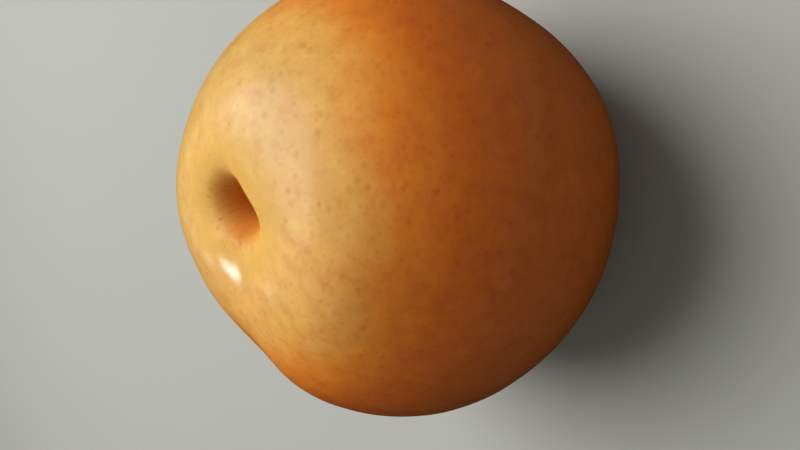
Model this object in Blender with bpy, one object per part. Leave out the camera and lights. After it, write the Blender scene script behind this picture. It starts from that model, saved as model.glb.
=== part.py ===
"""A large round pear of the Asian kind, as picked, standing on its calyx end.

Metres, +Z up. The origin is on the surface the pear stands on, under the middle of its outline.
Two pieces: the fruit, one solid with a stem cavity and a calyx basin, and the clipped stem.
"""

import bisect
import math

import bmesh
import bpy
from mathutils import Vector

# Fruit, before it grows lopsided
WIDTH = 0.112  # across the belly
HEIGHT = 0.0993  # from the foot to the lip of the stem cavity
BELLY_HEIGHT = 0.049
SHOULDER_FULLNESS = 1.80  # 2 is an ellipse, less is more conical
HAUNCH_FULLNESS = 1.98

# Stem cavity
LIP_RADIUS = 0.0145
CAVITY_DEPTH = 0.0300  # of the whole funnel, whose tip the socket of the stem cuts off
CAVITY_FUNNEL = 0.96  # how far the floor reaches out
CAVITY_STEEPNESS = 4.03

# Calyx basin and the ring of lobes around it that the pear stands on
FOOT_RADIUS = 0.021
BASIN_DEPTH = 0.009
SCAR_RADIUS = 0.0042
SCAR_DEPTH = 0.0016
LOBES = 5
LOBE_RISE = 0.0010  # how much higher the foot is between two lobes
LOBE_SWELL = 0.0006  # how far the lobes stand out from the haunch
LOBES_BELOW = 0.5  # share of the height at which the lobes have faded out
PRESSED = 0.0002  # how much of each lobe is worn flat

# Stem, clipped short, in a socket of the cavity's floor
GAP = 0.0003
STEM_RADIUS = 0.0015
STEM_HEIGHT = 0.0038  # above the socket
STEM_LEAN = 0.0009
STEM_FLARE = 1.3  # foot and clipped end, as a share of the middle's radius
SOCKET_RADIUS = STEM_RADIUS * STEM_FLARE + GAP
SOCKET_DEPTH = 0.0014

# Growth: what makes the fruit lopsided. Directions are in degrees, from +X towards +Y
CAVITY_DRIFT = 0.0050  # how far the stem end has moved aside
CAVITY_DRIFT_TOWARDS = -56.0
DRIFT_ABOVE = 0.35  # share of the height at which the drift starts
CAVITY_TILT = 0.173  # slope of the lip, which is higher on one side
CAVITY_TILT_TOWARDS = -26.0
CAVITY_CORNERS = (  # what makes the lip egg-shaped: corners, share of the radius, direction
    (2, 0.28, 54.0),
    (3, 0.2, 217.0),
)
CAVITY_REACH = 0.045  # radius at which the tilt and the corners have faded out
CAVITY_ABOVE = 0.5  # share of the height at which they start
CAVITY_WHOLE_ABOVE = 0.8  # and at which they are whole
OVAL = 0.0016  # how much longer the widest radius is than the mean one
OVAL_TOWARDS = 129.0
SWELLS = (  # azimuth, elevation and spread, seen from the middle, and how far the skin stands out
    (144.0, 44.0, 13.8, -0.0025),  # the dented shoulder
    (-32.0, -17.0, 31.4, -0.0015),  # the flat cheek
)
LEVEL_BELOW = 0.2  # share of the height under which swells fade, so that the foot stays level

# Mesh
SEGMENTS = 60
CAVITY_STEPS = 16
SHOULDER_STEPS = 15
HAUNCH_STEPS = 12
BASIN_STEPS = 9
STEM_SEGMENTS = 18
STEM_STEPS = 7
CURVE_SAMPLES = 400  # of each curve, before it is cut into even steps
MERGE = 0.00001
SHARP_ANGLE = math.radians(40)  # of the stem's edges

# Looks
SKIN_COLOUR = (0.55, 0.25, 0.05)
SKIN_ROUGHNESS = 0.42
STEM_COLOUR = (0.13, 0.07, 0.03)
STEM_ROUGHNESS = 0.8


def clear_scene():
    for obj in list(bpy.data.objects):
        bpy.data.objects.remove(obj, do_unlink=True)


def material(name, colour, roughness):
    made = bpy.data.materials.new(name)
    made.use_nodes = True
    shader = made.node_tree.nodes["Principled BSDF"]
    shader.inputs["Base Color"].default_value = (*colour, 1.0)
    shader.inputs["Roughness"].default_value = roughness
    shader.inputs["Metallic"].default_value = 0.0
    return made


def eased(share):
    """0 at 0 and below, 1 at 1 and above, with no corner between."""
    share = min(max(share, 0.0), 1.0)
    return share * share * (3 - 2 * share)


def heading(azimuth, elevation=0.0):
    """The unit vector that points that way."""
    flat = math.cos(math.radians(elevation))
    turn = math.radians(azimuth)
    return Vector((flat * math.cos(turn), flat * math.sin(turn), math.sin(math.radians(elevation))))


def polar(point):
    """Distance from the axis, and azimuth in radians."""
    return math.hypot(point.x, point.y), math.atan2(point.y, point.x)


def evenly(curve, steps):
    """Points along curve(0..1), the same distance apart, without the first."""
    fine = [Vector(curve(i / CURVE_SAMPLES)) for i in range(CURVE_SAMPLES + 1)]
    walked = [0.0]
    for before, after in zip(fine, fine[1:]):
        walked.append(walked[-1] + (after - before).length)
    goals = [walked[-1] * step / steps for step in range(1, steps + 1)]
    return [fine[min(bisect.bisect_left(walked, goal), CURVE_SAMPLES)] for goal in goals]


def cavity_height(radius):
    """Height of the stem cavity's surface: a funnel that steepens towards the stem."""
    share = min(radius / LIP_RADIUS, 1.0)
    return HEIGHT - CAVITY_DEPTH * (1 - share**CAVITY_FUNNEL) ** CAVITY_STEEPNESS


def socket_rim():
    return cavity_height(SOCKET_RADIUS)


def socket_floor():
    return socket_rim() - SOCKET_DEPTH


def quarter(share, fullness):
    """(out, up) along a quarter of a superellipse, from its top at 0 to its side at 1."""
    turn = share * math.pi / 2
    return math.sin(turn) ** (2 / fullness), math.cos(turn) ** (2 / fullness)


def cavity_wall(share):
    radius = SOCKET_RADIUS + share * (LIP_RADIUS - SOCKET_RADIUS)
    return (radius, 0.0, cavity_height(radius))


def shoulder(share):
    out, up = quarter(share, SHOULDER_FULLNESS)
    radius = LIP_RADIUS + (WIDTH / 2 - LIP_RADIUS) * out
    return (radius, 0.0, BELLY_HEIGHT + (HEIGHT - BELLY_HEIGHT) * up)


def haunch(share):
    out, up = quarter(1 - share, HAUNCH_FULLNESS)
    radius = FOOT_RADIUS + (WIDTH / 2 - FOOT_RADIUS) * out
    return (radius, 0.0, BELLY_HEIGHT * (1 - up))


def basin(share):
    radius = FOOT_RADIUS + share * (SCAR_RADIUS - FOOT_RADIUS)
    return (radius, 0.0, BASIN_DEPTH * (1 - math.cos(math.pi * share)) / 2)


def outline():
    """Half of the fruit's section, from the socket's floor round the outside to the calyx scar."""
    scar = BASIN_DEPTH + SCAR_DEPTH
    points = [
        Vector((0.0, 0.0, socket_floor())),
        Vector((SOCKET_RADIUS, 0.0, socket_floor())),
        Vector((SOCKET_RADIUS, 0.0, socket_rim())),
    ]
    points += evenly(cavity_wall, CAVITY_STEPS)
    points += evenly(shoulder, SHOULDER_STEPS)
    points += evenly(haunch, HAUNCH_STEPS)
    points += evenly(basin, BASIN_STEPS)
    points.append(Vector((SCAR_RADIUS / 2, 0.0, scar)))
    points.append(Vector((0.0, 0.0, scar)))
    return points


def near_cavity(point):
    """1 in the stem cavity, 0 beyond its reach."""
    radius, _ = polar(point)
    up = (point.z / HEIGHT - CAVITY_ABOVE) / (CAVITY_WHOLE_ABOVE - CAVITY_ABOVE)
    return eased(1 - radius / CAVITY_REACH) * eased(up)


def cornered(point):
    """Makes the cavity's lip egg-shaped. The socket stays round."""
    radius, azimuth = polar(point)
    shown = near_cavity(point) * eased(radius / LIP_RADIUS)
    wider = 1.0
    for corners, share, direction in CAVITY_CORNERS:
        wider += shown * share * math.cos(corners * (azimuth - math.radians(direction)))
    return Vector((wider * point.x, wider * point.y, point.z))


def lobed(point):
    """The foot's lobes, which fade up the haunch and into the basin."""
    radius, azimuth = polar(point)
    between = (1 - math.cos(LOBES * azimuth)) / 2
    low = eased(1 - point.z / (LOBES_BELOW * HEIGHT))
    swollen = radius + LOBE_SWELL * low * eased(radius / FOOT_RADIUS) * (1 - 2 * between)
    foot = low * eased(1 - abs(radius - FOOT_RADIUS) / FOOT_RADIUS)
    up = point.z + LOBE_RISE * between * foot - PRESSED
    return Vector((swollen * math.cos(azimuth), swollen * math.sin(azimuth), up))


def widened(point):
    """Makes the fruit oval, seen from above."""
    radius, azimuth = polar(point)
    wider = OVAL * 2 * radius / WIDTH * math.cos(2 * (azimuth - math.radians(OVAL_TOWARDS)))
    return point + wider * heading(math.degrees(azimuth))


def drifted(point):
    """Moves the stem end aside."""
    share = eased((point.z / HEIGHT - DRIFT_ABOVE) / (1 - DRIFT_ABOVE))
    return point + CAVITY_DRIFT * share * heading(CAVITY_DRIFT_TOWARDS)


def swelled(point, shown):
    middle = Vector((0.0, 0.0, BELLY_HEIGHT))
    for azimuth, elevation, spread, out in SWELLS:
        arm = point - middle
        away = math.degrees(heading(azimuth, elevation).angle(arm)) / spread
        point = point + shown * out * math.exp(-(away**2)) * arm.normalized()
    return point


def cavity_lean(point):
    """How far the cavity's tilt moves a point: its high side up, and what is deep in it aside."""
    radius, azimuth = polar(point)
    slope = CAVITY_TILT * near_cavity(point)
    rise = slope * radius * math.cos(azimuth - math.radians(CAVITY_TILT_TOWARDS))
    aside = slope * max(HEIGHT - point.z, 0.0) * heading(CAVITY_TILT_TOWARDS)
    return aside + Vector((0.0, 0.0, rise))


def grown(even):
    """Where growth has moved a point of the even fruit."""
    point = lobed(cornered(even))
    above_foot = eased(point.z / (LEVEL_BELOW * HEIGHT))
    point = swelled(drifted(widened(point)), above_foot)
    return point + cavity_lean(even)


def mesh_object(name, bm, coat):
    mesh = bpy.data.meshes.new(name)
    bm.to_mesh(mesh)
    bm.free()
    mesh.materials.append(coat)
    obj = bpy.data.objects.new(name, mesh)
    bpy.context.scene.collection.objects.link(obj)
    return obj


def spun(points, segments):
    """Half a section spun round the axis and closed at both ends."""
    bm = bmesh.new()
    verts = [bm.verts.new(point) for point in points]
    edges = [bm.edges.new(pair) for pair in zip(verts, verts[1:])]
    bmesh.ops.spin(
        bm,
        geom=verts + edges,
        cent=(0.0, 0.0, 0.0),
        axis=(0.0, 0.0, 1.0),
        angle=math.tau,
        steps=segments,
    )
    bmesh.ops.remove_doubles(bm, verts=bm.verts, dist=MERGE)
    bmesh.ops.recalc_face_normals(bm, faces=bm.faces)
    return bm


def grow_all(bm):
    for vert in bm.verts:
        vert.co = grown(vert.co)


def middle_of(bm):
    """The point of the surface under the middle of the outline seen from above."""
    xs = [vert.co.x for vert in bm.verts]
    ys = [vert.co.y for vert in bm.verts]
    return Vector(((min(xs) + max(xs)) / 2, (min(ys) + max(ys)) / 2, 0.0))


def pressed_flat(fruit):
    """Cuts off what reaches below the surface, so that each lobe stands on a flat spot."""
    depth = HEIGHT / 4
    bm = bmesh.new()
    bmesh.ops.create_cube(bm, size=1.0)
    bmesh.ops.scale(bm, vec=(WIDTH, WIDTH, depth), verts=bm.verts)
    bmesh.ops.translate(bm, vec=(0.0, 0.0, -depth / 2), verts=bm.verts)
    surface = mesh_object("surface_cutter", bm, fruit.data.materials[0])
    surface.hide_render = True
    surface.display_type = "WIRE"
    cut = fruit.modifiers.new("pressed_flat", "BOOLEAN")
    cut.operation = "DIFFERENCE"
    cut.solver = "EXACT"
    cut.object = surface


def make_fruit():
    """Makes the fruit and returns the middle that it was centred on."""
    bm = spun(outline(), SEGMENTS)
    grow_all(bm)
    middle = middle_of(bm)
    bmesh.ops.translate(bm, vec=-middle, verts=bm.verts)
    fruit = mesh_object("fruit", bm, material("skin", SKIN_COLOUR, SKIN_ROUGHNESS))
    fruit.data.shade_smooth()
    pressed_flat(fruit)
    return middle


def stem_outline():
    """Half of the stub's section, from its foot in the socket to its clipped end."""
    foot = socket_floor() + GAP
    top = socket_rim() + STEM_HEIGHT
    points = [Vector((0.0, 0.0, foot))]
    for step in range(STEM_STEPS + 1):
        up = step / STEM_STEPS
        radius = STEM_RADIUS * (1.0 + (STEM_FLARE - 1.0) * (2 * up - 1) ** 2)
        points.append(Vector((radius, 0.0, foot + up * (top - foot))))
    points.append(Vector((0.0, 0.0, top)))
    return points


def make_stem(middle):
    """A short woody stub, wider where it joins the fruit and where it was clipped."""
    bm = spun(stem_outline(), STEM_SEGMENTS)
    for vert in bm.verts:
        vert.co.x += STEM_LEAN * max((vert.co.z - socket_rim()) / STEM_HEIGHT, 0.0) ** 2
    grow_all(bm)
    bmesh.ops.translate(bm, vec=-middle, verts=bm.verts)
    stem = mesh_object("stem", bm, material("stem_wood", STEM_COLOUR, STEM_ROUGHNESS))
    stem.data.shade_smooth()
    stem.data.set_sharp_from_angle(angle=SHARP_ANGLE)


clear_scene()
make_stem(make_fruit())
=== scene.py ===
import math

import bmesh
import bpy
from mathutils import Matrix, Vector


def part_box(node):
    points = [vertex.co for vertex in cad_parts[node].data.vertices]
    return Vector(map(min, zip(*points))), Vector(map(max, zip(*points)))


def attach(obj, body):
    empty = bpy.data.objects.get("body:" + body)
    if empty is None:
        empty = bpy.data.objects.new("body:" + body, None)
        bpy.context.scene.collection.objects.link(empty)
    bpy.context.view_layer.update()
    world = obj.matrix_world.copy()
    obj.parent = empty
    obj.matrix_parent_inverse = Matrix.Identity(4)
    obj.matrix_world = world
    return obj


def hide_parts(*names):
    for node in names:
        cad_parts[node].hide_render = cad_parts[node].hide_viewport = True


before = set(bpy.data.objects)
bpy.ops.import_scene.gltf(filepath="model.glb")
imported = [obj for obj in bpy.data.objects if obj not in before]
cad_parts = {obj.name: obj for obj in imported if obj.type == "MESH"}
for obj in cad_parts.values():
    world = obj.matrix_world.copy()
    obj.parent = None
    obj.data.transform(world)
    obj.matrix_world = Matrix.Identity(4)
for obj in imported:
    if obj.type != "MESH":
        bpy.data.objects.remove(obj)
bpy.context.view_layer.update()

# ---------------------------------------------------------------- places, from the frame

FRUIT_LOW, FRUIT_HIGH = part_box("fruit")
STEM_LOW, STEM_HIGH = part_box("stem")
TALL = FRUIT_HIGH.z
HOLLOW = (STEM_LOW + STEM_HIGH) / 2  # a point on the middle line of the stem cavity
HOLLOW_SLOPE = Vector((-0.155, 0.076, 0.0))  # how far that line moves aside on its way up
CALYX = Vector((0.0016, -0.0008, 0.0))  # the middle of the calyx basin
WAXY_SPOT = Vector((-0.0096, 0.0024, 0.0966))  # where the shoulder is smoothest


# ---------------------------------------------------------------- camera

CAMERA_ELEVATION = math.radians(44.9)
CAMERA_DISTANCE = 0.1742
CAMERA_LEAN = math.radians(100.4)  # its roll, which points the stem end nearly to the left
CAMERA_AIM = Vector((0.0, 0.0, 0.048))
AIM_ACROSS = 0.0011  # how far the aim is moved to the right in the turned view
AIM_DOWN = 0.0062  # and downwards in it
LENS = 30.0  # in millimetres, as is the sensor's width
SENSOR = 36.0
CLIP_START = 0.01


# ---------------------------------------------------------------- shader helpers


class Value:
    """One output of a shader node. Python's operators join it to others with Math nodes."""

    def __init__(self, finish, socket):
        self.finish = finish
        self.socket = socket

    def math(self, operation, *terms, clamp=False):
        settings = {"operation": operation, "use_clamp": clamp}
        return self.finish.node("Math", settings, dict(enumerate(terms)))

    def __add__(self, other):
        return self.math("ADD", self, other)

    __radd__ = __add__

    def __sub__(self, other):
        return self.math("SUBTRACT", self, other)

    def __rsub__(self, other):
        return self.math("SUBTRACT", other, self)

    def __mul__(self, other):
        return self.math("MULTIPLY", self, other)

    __rmul__ = __mul__

    def __truediv__(self, other):
        return self.math("DIVIDE", self, other)

    def __pow__(self, other):
        return self.math("POWER", self, other)

    def held(self):
        """Kept between 0 and 1."""
        return self.math("ADD", self, 0.0, clamp=True)


class Finish:
    """A material under way: a Principled shader and the nodes that feed it."""

    def __init__(self, name, **uniform):
        self.material = bpy.data.materials.new(name)
        self.material.use_nodes = True
        self.tree = self.material.node_tree
        self.shader = self.tree.nodes["Principled BSDF"]
        for socket, value in uniform.items():
            self.shader.inputs[socket.replace("_", " ")].default_value = value

    def node(self, kind, settings=None, inputs=None, output=0):
        """Adds one node, sets it, then gives its sockets their values or links."""
        made = self.tree.nodes.new("ShaderNode" + kind)
        for name, value in (settings or {}).items():
            if name == "stops":
                self.set_stops(made.color_ramp, value)
            else:
                setattr(made, name, value)
        for name, value in (inputs or {}).items():
            self.feed(made.inputs[name], value)
        return Value(self, made.outputs[output])

    def feed(self, socket, value):
        if isinstance(value, Value):
            self.tree.links.new(value.socket, socket)
        elif socket.type == "RGBA":
            socket.default_value = (*value, 1.0)
        else:
            socket.default_value = value

    @staticmethod
    def set_stops(ramp, stops):
        while len(ramp.elements) < len(stops):
            ramp.elements.new(0.5)
        for element, (place, colour) in zip(ramp.elements, stops):
            element.position = place
            element.color = (*colour, 1.0)

    def drive(self, **sockets):
        """Feeds the Principled shader's own sockets."""
        for name, value in sockets.items():
            self.feed(self.shader.inputs[name.replace("_", " ")], value)

    def place(self):
        return self.node("TexCoord", output="Object")

    def moved(self, vector, location=(0.0, 0.0, 0.0), scale=(1.0, 1.0, 1.0)):
        """Shifted, so that two noises of one kind differ, or stretched."""
        return self.node("Mapping", None, {"Vector": vector, "Location": location, "Scale": scale})

    def parts(self, vector):
        made = self.tree.nodes.new("ShaderNodeSeparateXYZ")
        self.tree.links.new(vector.socket, made.inputs[0])
        return [Value(self, output) for output in made.outputs]

    def joined(self, x, y, z):
        return self.node("CombineXYZ", None, {0: x, 1: y, 2: z})

    def noise(self, vector, size, detail=2.0, roughness=0.5, output="Fac"):
        """Noise between 0 and 1 whose lumps are about size across, in metres."""
        sockets = {"Vector": vector, "Scale": 1.0 / size, "Detail": detail, "Roughness": roughness}
        return self.node("TexNoise", None, sockets, output)

    def cells(self, vector, size):
        """How far off the nearest of many points is, which lie about size apart."""
        return self.node("TexVoronoi", None, {"Vector": vector, "Scale": 1.0 / size}, "Distance")

    def between(self, value, low, high):
        """0 where value is low, 1 where it is high, eased in between and held beyond."""
        sockets = {0: value, 1: low, 2: high}
        return self.node("MapRange", {"interpolation_type": "SMOOTHSTEP"}, sockets)

    def off_axis(self, east, north):
        return (east * east + north * north) ** 0.5

    def mix(self, factor, first, second, blend="MIX"):
        settings = {"data_type": "RGBA", "blend_type": blend}
        return self.node("Mix", settings, {0: factor, 6: first, 7: second}, output=2)

    def ramp(self, value, stops):
        return self.node("ValToRGB", {"stops": stops}, {0: value})

    def bump(self, height, depth, below=None):
        """A bump as deep as depth, in metres, over another one."""
        sockets = {"Height": height, "Distance": depth, "Strength": 1.0}
        if below is not None:
            sockets["Normal"] = below
        return self.node("Bump", None, sockets)


# ---------------------------------------------------------------- modelling helpers

SMOOTHING = 2  # subdivision levels


def select_only(*pieces):
    bpy.ops.object.select_all(action="DESELECT")
    for piece in pieces:
        piece.select_set(True)
    bpy.context.view_layer.objects.active = pieces[0]


def apply_modifier(piece, kind, **settings):
    select_only(piece)
    made = piece.modifiers.new(kind.lower(), kind)
    for name, value in settings.items():
        setattr(made, name, value)
    bpy.ops.object.modifier_apply(modifier=made.name)


def smooth_and_roughen(piece, name, size, octaves, depth):
    """Subdivides the piece, then moves its surface in and out by up to half of depth."""
    apply_modifier(piece, "SUBSURF", levels=SMOOTHING, render_levels=SMOOTHING)
    clouds = bpy.data.textures.new(name, "CLOUDS")
    clouds.noise_scale = size
    clouds.noise_depth = octaves
    apply_modifier(piece, "DISPLACE", texture=clouds, texture_coords="LOCAL", strength=depth, mid_level=0.5)
    select_only(piece)
    bpy.ops.object.shade_smooth()


def finish_piece(piece, finish, slot, *nodes):
    """Puts the piece's place in its mesh, gives it its finish and hangs it on the frame."""
    select_only(piece)
    bpy.ops.object.transform_apply(location=True, rotation=True, scale=True)
    piece.data.materials.clear()
    piece.data.materials.append(finish.material)
    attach(piece, "root")
    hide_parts(*nodes)


# ---------------------------------------------------------------- skin

# the skin's ground colour against its height, a share of the fruit's: pale at the stem end, golden brown on
# the belly, and darker low down, which is painted shade
RIPENESS_AND_SHADE = (
    (0.10, (0.48, 0.115, 0.008)),
    (0.35, (0.53, 0.115, 0.005)),
    (0.58, (0.62, 0.130, 0.004)),
    (0.74, (0.72, 0.148, 0.005)),
    (0.84, (0.85, 0.248, 0.018)),
    (0.92, (0.84, 0.415, 0.085)),
    (0.99, (0.72, 0.415, 0.105)),
)
SHADY_SIDE = 0.08  # how much paler the skin is towards +X, and less so towards +Y
SHADY_TURN = 0.7
SHADY_SHIFT = 0.010
# the brown of the painted shade on the -X side of the lower body
SHADE_BROWN = (0.34, 0.075, 0.006)
# the painted shade inside the stem cavity: gold on its lip, orange down its wall
RIM_SHADE_GOLD = (0.68, 0.37, 0.045)
WALL_SHADE_ORANGE = (0.62, 0.175, 0.014)
HAIR_BROWN = (0.33, 0.12, 0.01)
RUSSET = (0.30, 0.13, 0.035)
CORK = (0.13, 0.080, 0.042)

# these multiply the colour under them
MOTTLE_DARK = (0.93, 0.82, 0.78)
MOTTLE_PALE = (1.07, 1.14, 1.12)
FRECKLE = (0.70, 0.62, 0.50)
SPECK = (0.84, 0.76, 0.70)

# how large each marking is, in metres
DRIFT_SIZE = 0.045
BLOTCH_SIZE = 0.016
MOTTLE_SIZE = 0.0038
FRECKLE_SPACING = 0.0028
SPECK_SPACING = 0.0017
FRECKLE_FIELD = 0.006  # freckles stand close together over patches of this size
GLOSS_SIZE = 0.008
LUMP_SIZE = 0.006
DIMPLE_SIZE = 0.0014
HAIRS_ROUND = 11.0  # how finely the streaks divide the way round the cavity
HAIR_STRETCH = 55.0  # and how fast they change along it, for each metre

# how far out each marking starts to show, and where it is full, in metres from its middle
RIM_SHADE_REACH = (0.020, 0.0105)
WALL_SHADE_REACH = (0.0098, 0.0042)
HAIR_REACH = (0.014, 0.007)
MATT_REACH = (0.024, 0.015)
SHINE_REACH = (0.0075, 0.0020)
RUSSET_REACH = (0.017, 0.008)
CORK_REACH = (0.0062, 0.0040)

# the relief, in metres
LUMP_DEPTH = 0.00010
DIMPLE_DEPTH = 0.00004
MARK_DEPTH = 0.00004
CORK_DEPTH = 0.0005

# the skin's mesh
MERGE_DISTANCE = 0.00001
SWELL_SIZE = 0.012
SWELL_DEPTH = 0.00025


def skin_finish():
    finish = Finish(
        "pear_skin",
        IOR=1.36,
        Subsurface_Weight=0.05,
        Subsurface_Radius=(0.004, 0.0015, 0.0004),
        Subsurface_Scale=1.0,
        Coat_Roughness=0.21,
        Coat_IOR=1.4,
    )
    place = finish.place()
    x, y, z = finish.parts(place)
    height = z / TALL

    # how the ripeness runs from the pale stem end down to the golden brown belly, with painted shade
    # darkening the lower part
    drift = finish.noise(place, DRIFT_SIZE, detail=1.0) - 0.5
    blotch = finish.noise(finish.moved(place, (0.3, 0.1, 0.2)), BLOTCH_SIZE) - 0.5
    side = (x + SHADY_TURN * y + SHADY_SHIFT) / FRUIT_HIGH.x
    ripeness_and_shade = height + 0.10 * drift + 0.09 * blotch + SHADY_SIDE * side
    ground = finish.ramp(ripeness_and_shade, RIPENESS_AND_SHADE)

    # painted shade: the lower body is browner towards -X, where it lies in shade
    shaded_west = finish.between(x / FRUIT_HIGH.x, 0.1, -0.9) * finish.between(height, 0.85, 0.60)
    ground = finish.mix(0.18 * shaded_west, ground, SHADE_BROWN)

    # mottling: darker and paler patches a few millimetres across
    patch = finish.noise(finish.moved(place, (0.7, 0.4, 0.9)), MOTTLE_SIZE, roughness=0.60)
    dark = finish.between(patch, 0.50, 0.70)
    pale = finish.between(patch, 0.50, 0.30)
    colour = finish.mix(0.80 * dark, ground, MOTTLE_DARK, "MULTIPLY")
    colour = finish.mix(0.80 * pale, colour, MOTTLE_PALE, "MULTIPLY")

    # freckles, low in contrast, and finer specks between them
    field = finish.noise(finish.moved(place, (0.2, 0.8, 0.5)), FRECKLE_FIELD, detail=1.0)
    sway = {0: finish.noise(place, 0.005, output="Color"), 1: (0.0014,) * 3, 2: place}
    swayed = finish.node("VectorMath", {"operation": "MULTIPLY_ADD"}, sway)
    freckle = finish.between(finish.cells(swayed, FRECKLE_SPACING), 0.40, 0.06)
    freckle = freckle * finish.between(field, 0.36, 0.60)
    shifted = finish.moved(swayed, (0.3, 0.3, 0.3))
    speck = finish.between(finish.cells(shifted, SPECK_SPACING), 0.36, 0.10)
    colour = finish.mix(0.30 * freckle, colour, FRECKLE, "MULTIPLY")
    colour = finish.mix(0.45 * speck, colour, SPECK, "MULTIPLY")

    # the stem cavity: painted shade that deepens down its wall, gold on the lip and orange lower down, with
    # hairline streaks that run to the stem
    east = x - HOLLOW.x - HOLLOW_SLOPE.x * (z - HOLLOW.z)
    north = y - HOLLOW.y - HOLLOW_SLOPE.y * (z - HOLLOW.z)
    far = finish.off_axis(east, north)
    upper = finish.between(height, 0.60, 0.72)
    rim_shade = finish.between(far, *RIM_SHADE_REACH) * upper
    wall_shade = finish.between(far, *WALL_SHADE_REACH) * upper
    colour = finish.mix(0.62 * rim_shade, colour, RIM_SHADE_GOLD)
    colour = finish.mix(0.85 * wall_shade, colour, WALL_SHADE_ORANGE)
    ray = finish.joined(east / (far + 0.0001), north / (far + 0.0001), far * HAIR_STRETCH)
    streak = finish.noise(ray, 1 / HAIRS_ROUND, detail=3.0, roughness=0.65)
    hair = finish.between(streak, 0.57, 0.70) * finish.between(far, *HAIR_REACH) * upper
    colour = finish.mix(0.45 * hair, colour, HAIR_BROWN)

    # the calyx end: a corky scar in the middle of the basin, and russet round it
    axis = finish.off_axis(x - CALYX.x, y - CALYX.y)
    low = finish.between(height, 0.30, 0.18)
    russet = finish.between(axis + 0.012 * blotch, *RUSSET_REACH) * low
    cork = finish.between(axis + 0.004 * blotch, *CORK_REACH) * low
    colour = finish.mix(0.55 * russet, colour, RUSSET)
    colour = finish.mix(0.85 * cork, colour, CORK)

    # the shoulder shines at one spot, and the lip beside it is matt
    away = finish.node("VectorMath", {"operation": "DISTANCE"}, {0: place, 1: WAXY_SPOT}, "Value")
    wax = finish.between(away, *SHINE_REACH)
    lip = finish.between(far, *MATT_REACH) * upper
    gloss = finish.noise(finish.moved(place, (0.9, 0.2, 0.3)), GLOSS_SIZE)
    finish.drive(
        Base_Color=colour,
        Roughness=0.42 + 0.14 * gloss + 0.25 * cork + 0.08 * freckle + 0.10 * lip,
        Coat_Weight=(0.42 - 0.40 * cork - 0.40 * lip + 0.85 * wax * (0.3 + 1.4 * gloss)).held(),
    )

    lump = finish.noise(finish.moved(place, (0.6, 0.3, 0.8)), LUMP_SIZE, detail=1.0)
    dimple = finish.noise(finish.moved(place, (0.1, 0.9, 0.4)), DIMPLE_SIZE)
    relief = finish.bump(lump, LUMP_DEPTH)
    relief = finish.bump(dimple, DIMPLE_DEPTH, relief)
    relief = finish.bump(freckle + 0.8 * hair, MARK_DEPTH, relief)
    finish.drive(Normal=finish.bump(dimple * cork, CORK_DEPTH, relief))
    return finish


def make_skin():
    """The fruit's solid, its facets smoothed out, with the low lumps that a real skin has."""
    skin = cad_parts["fruit"].copy()
    skin.data = skin.data.copy()
    skin.name = "pear_skin"
    skin.data.name = "pear_skin"
    for key in list(skin.keys()):
        del skin[key]
    skin.parent = None
    bpy.context.scene.collection.objects.link(skin)
    select_only(skin)
    bpy.ops.object.mode_set(mode="EDIT")
    bpy.ops.mesh.select_all(action="SELECT")
    bpy.ops.mesh.remove_doubles(threshold=MERGE_DISTANCE)
    bpy.ops.mesh.tris_convert_to_quads(face_threshold=math.radians(40), shape_threshold=math.radians(60))
    bpy.ops.object.mode_set(mode="OBJECT")
    smooth_and_roughen(skin, "lumps", SWELL_SIZE, 1, SWELL_DEPTH)
    return skin


# ---------------------------------------------------------------- stem

# share of the stem's length, and its radius there
STEM_RINGS = (
    (0.00, 0.0021),
    (0.24, 0.0024),
    (0.34, 0.0019),
    (0.50, 0.0015),
    (0.72, 0.0014),
    (0.88, 0.0016),
    (0.97, 0.0018),
    (1.00, 0.0017),
)
STEM_SIDES = 20
FOOT_HEIGHT = 0.0008  # of the cylinder that the stem is drawn out of
END_HEIGHT = 0.0008  # the solid's points this near its foot or tip belong to that end
CUT_EDGE = 0.0003
CUT_INSET = 0.0006
CUT_DISH = 0.0003
BARK_SIZE = 0.0009
BARK_DEPTH = 0.00035
GRAIN_SIZE = 0.0005
GRAIN_STRETCH = 0.22
GRAIN_DEPTH = 0.00012

# the stem's colours, from the cracks of the bark to its ridges
BARK_COLOURS = (
    (0.25, (0.035, 0.018, 0.008)),
    (0.55, (0.12, 0.062, 0.026)),
    (0.80, (0.26, 0.16, 0.075)),
)
CUT_COLOUR = (0.30, 0.19, 0.095)
CUT_RINGS = (0.10, 0.055, 0.025)


def stem_finish():
    finish = Finish("stem_wood", IOR=1.45, Coat_Weight=0.0)
    place = finish.place()
    along = finish.moved(place, scale=(1.0, 1.0, GRAIN_STRETCH))
    grain = finish.noise(along, GRAIN_SIZE, detail=4.0, roughness=0.6)
    colour = finish.ramp(grain, BARK_COLOURS)
    _, _, z = finish.parts(place)
    cut = finish.between(z, STEM_HIGH.z - 0.0008, STEM_HIGH.z - 0.0003)
    rings = finish.noise(place, 0.0004)
    colour = finish.mix(0.7 * cut, colour, CUT_COLOUR)
    colour = finish.mix(0.5 * finish.between(rings, 0.5, 0.7) * cut, colour, CUT_RINGS)
    finish.drive(Base_Color=colour, Roughness=0.72 + 0.2 * grain)
    finish.drive(Normal=finish.bump(grain, GRAIN_DEPTH))
    return finish


def stem_ends():
    """The middles of the stem's foot and of its clipped end."""
    points = [vertex.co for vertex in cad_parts["stem"].data.vertices]
    foot = [point for point in points if point.z < STEM_LOW.z + END_HEIGHT]
    tip = [point for point in points if point.z > STEM_HIGH.z - END_HEIGHT]
    return sum(foot, Vector()) / len(foot), sum(tip, Vector()) / len(tip)


def pick_top_face(piece):
    """Selects, in edit mode, the face whose middle is highest."""
    mesh = bmesh.from_edit_mesh(piece.data)
    bpy.ops.mesh.select_all(action="DESELECT")
    top = max(mesh.faces, key=lambda face: face.calc_center_median().z)
    top.select = True
    mesh.select_flush_mode()
    bmesh.update_edit_mesh(piece.data)


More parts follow.
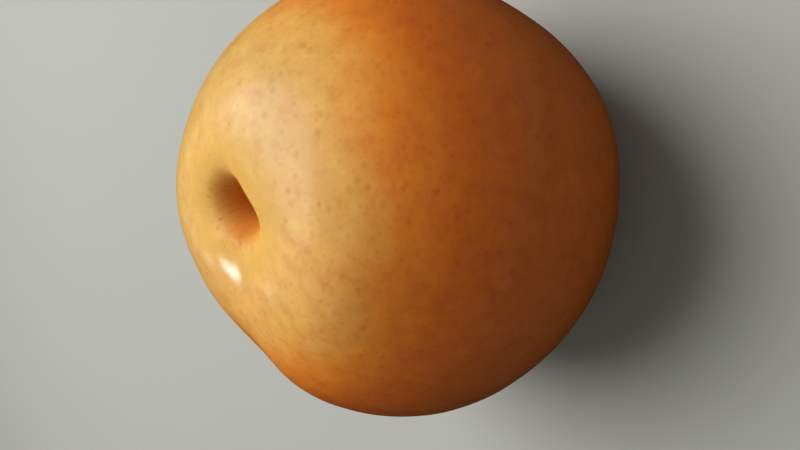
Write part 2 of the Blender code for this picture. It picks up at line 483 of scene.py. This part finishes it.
def make_stem():
    """A clipped stub: a flared foot drawn up ring by ring to a thickened, dished cut end."""
    foot, tip = stem_ends()
    bpy.ops.object.select_all(action="DESELECT")
    bpy.ops.mesh.primitive_cylinder_add(
        vertices=STEM_SIDES,
        radius=STEM_RINGS[0][1],
        depth=FOOT_HEIGHT,
        location=foot + Vector((0.0, 0.0, FOOT_HEIGHT / 2)),
    )
    stem = bpy.context.object
    stem.name = "pear_stem"
    bpy.ops.object.transform_apply(location=True, rotation=True, scale=True)
    bpy.ops.object.mode_set(mode="EDIT")
    bpy.ops.mesh.select_mode(type="FACE")
    pick_top_face(stem)
    here = foot + Vector((0.0, 0.0, FOOT_HEIGHT))
    radius = STEM_RINGS[0][1]
    for share, wanted in STEM_RINGS[1:]:
        there = foot.lerp(tip, share)
        bpy.ops.mesh.extrude_region_move(TRANSFORM_OT_translate={"value": there - here})
        scale = wanted / radius
        bpy.ops.transform.resize(value=(scale, scale, 1.0), center_override=there)
        here = there
        radius = wanted
    bpy.ops.mesh.inset(thickness=CUT_EDGE)
    bpy.ops.mesh.inset(thickness=CUT_INSET)
    bpy.ops.transform.translate(value=(0.0, 0.0, -CUT_DISH))
    bpy.ops.object.mode_set(mode="OBJECT")
    smooth_and_roughen(stem, "bark", BARK_SIZE, 2, BARK_DEPTH)
    return stem


# ---------------------------------------------------------------- stage

FLOOR_SIZE = 24.0
FLOOR_DARK = (0.388, 0.396, 0.361)
FLOOR_PALE = (0.413, 0.421, 0.386)

WINDOW = Vector((0.319, 0.354, 0.813))
WINDOW_SIZE = 0.90
WINDOW_POWER = 6.8
WINDOW_AIM = Vector((0.0, 0.0, 0.05))
SKY_STRENGTH = 1.43  # even light from the window's side, which reaches the whole floor
SKY_ANGLE = math.radians(52)

# a small lamp that the skin mirrors as a glint on its shoulder
GLINT_LAMP = Vector((-0.127, 0.555, 0.302))
GLINT_LAMP_SIZE = 0.05
GLINT_LAMP_POWER = 0.16
GLINT_LAMP_AIM = Vector((-0.010, 0.004, 0.096))

ROOM_COLOUR = (1.0, 1.0, 0.97, 1.0)
ROOM_STRENGTH = 0.20


def floor_finish():
    finish = Finish("floor", Specular_IOR_Level=0.2)
    place = finish.place()
    cloud = finish.noise(place, 0.25)
    grain = finish.noise(place, 0.004)
    colour = finish.mix(0.5 * cloud + 0.1 * grain, FLOOR_DARK, FLOOR_PALE)
    finish.drive(Base_Color=colour, Roughness=0.75 + 0.1 * grain)
    return finish


def make_floor():
    bpy.ops.object.select_all(action="DESELECT")
    bpy.ops.mesh.primitive_plane_add(size=FLOOR_SIZE, location=(0.0, 0.0, 0.0))
    floor = bpy.context.object
    floor.name = "floor"
    floor.data.materials.append(floor_finish().material)
    floor.visible_glossy = False


def place_light(lamp, place, power, aim):
    lamp.energy = power
    obj = bpy.data.objects.new(lamp.name, lamp)
    obj.location = place
    obj.rotation_euler = (aim - place).to_track_quat("-Z", "Y").to_euler()
    bpy.context.scene.collection.objects.link(obj)
    return obj


def disc_light(name, size, colour):
    lamp = bpy.data.lights.new(name, "AREA")
    lamp.shape = "DISK"
    lamp.size = size
    lamp.color = colour
    return lamp


def make_lights():
    window = disc_light("window", WINDOW_SIZE, (1.0, 0.99, 0.97))
    place_light(window, WINDOW, WINDOW_POWER, WINDOW_AIM)
    sky = bpy.data.lights.new("sky", "SUN")
    sky.angle = SKY_ANGLE
    place_light(sky, WINDOW, SKY_STRENGTH, Vector())
    glint = disc_light("side_lamp", GLINT_LAMP_SIZE, (1.0, 0.98, 0.96))
    place_light(glint, GLINT_LAMP, GLINT_LAMP_POWER, GLINT_LAMP_AIM).visible_diffuse = False
    world = bpy.data.worlds.new("room")
    world.use_nodes = True
    background = world.node_tree.nodes["Background"]
    background.inputs["Color"].default_value = ROOM_COLOUR
    background.inputs["Strength"].default_value = ROOM_STRENGTH
    world.cycles_visibility.glossy = False
    bpy.context.scene.world = world
    bpy.context.scene.view_settings.view_transform = "Standard"


def make_camera():
    """Looks down on the pear, rolled so that its stem end points to the left."""
    back = Vector((0.0, -math.cos(CAMERA_ELEVATION), math.sin(CAMERA_ELEVATION)))
    right = Vector((1.0, 0.0, 0.0))
    up = back.cross(right)
    turned_right = math.cos(CAMERA_LEAN) * right - math.sin(CAMERA_LEAN) * up
    turned_up = math.sin(CAMERA_LEAN) * right + math.cos(CAMERA_LEAN) * up
    aim = CAMERA_AIM + AIM_ACROSS * turned_right - AIM_DOWN * turned_up
    camera = bpy.data.objects.new("camera", bpy.data.cameras.new("camera"))
    turn = Matrix((turned_right, turned_up, back)).transposed()
    camera.matrix_world = Matrix.Translation(aim + CAMERA_DISTANCE * back) @ turn.to_4x4()
    camera.data.lens = LENS
    camera.data.sensor_width = SENSOR
    camera.data.clip_start = CLIP_START
    bpy.context.scene.collection.objects.link(camera)
    bpy.context.scene.camera = camera


make_camera()
make_lights()
make_floor()
finish_piece(make_skin(), skin_finish(), "skin", "fruit")
finish_piece(make_stem(), stem_finish(), "stem_wood", "stem")
